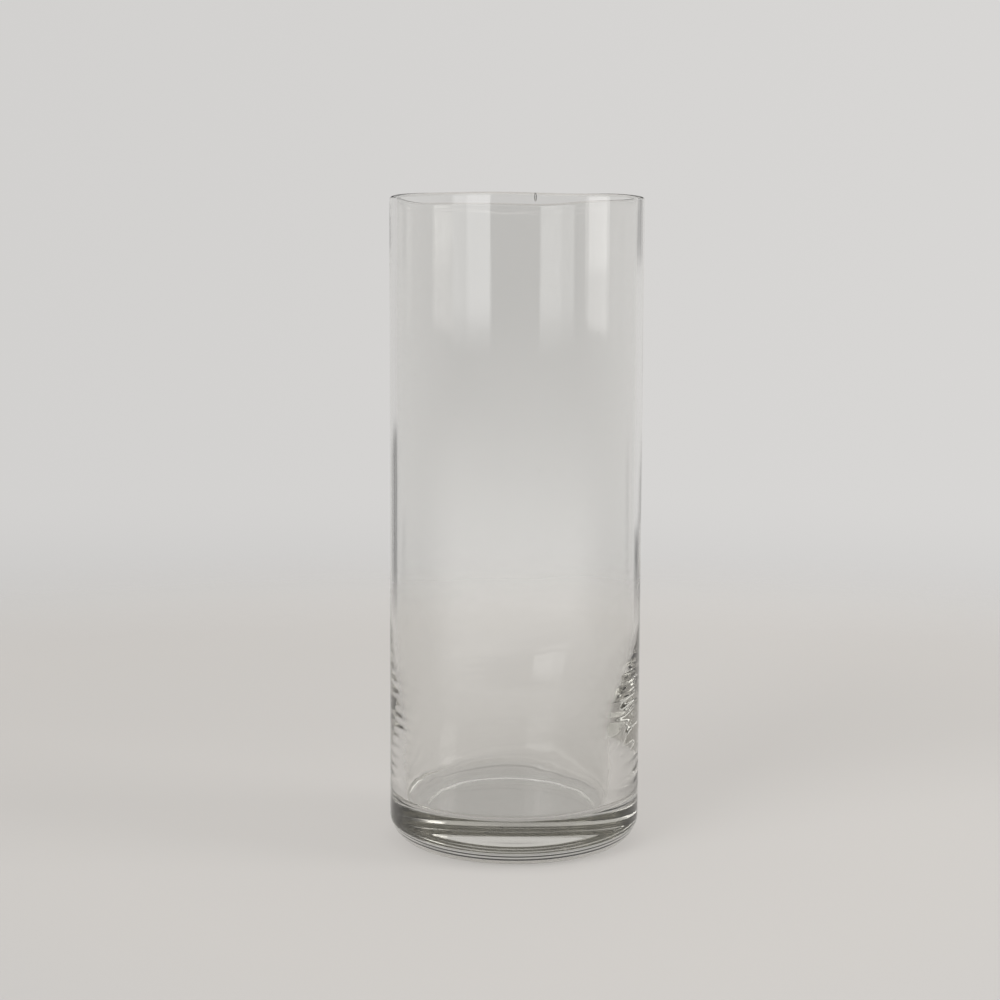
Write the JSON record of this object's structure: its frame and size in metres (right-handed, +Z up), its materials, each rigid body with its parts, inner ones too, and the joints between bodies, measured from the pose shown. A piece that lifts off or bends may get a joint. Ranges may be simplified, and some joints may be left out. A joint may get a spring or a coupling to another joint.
{
  "type": "cylinder vase",
  "caption": "Tall straight-sided clear glass vase with a thick solid foot, a rounded heel and an open top.",
  "frame": {"origin": "on the surface the vase stands on, at the centre of its foot", "axes": "+Z up along the axis of the cylinder, towards the open top; the body is turned about Z, so X and Y are free"},
  "size_m": [0.117, 0.117, 0.3],
  "materials": {
    "clear_glass": "clear, fire-polished, faint ripples inside the lower wall"
  },
  "bodies": {
    "root": {"vase_body": "clear_glass"}
  },
  "joints": []
}
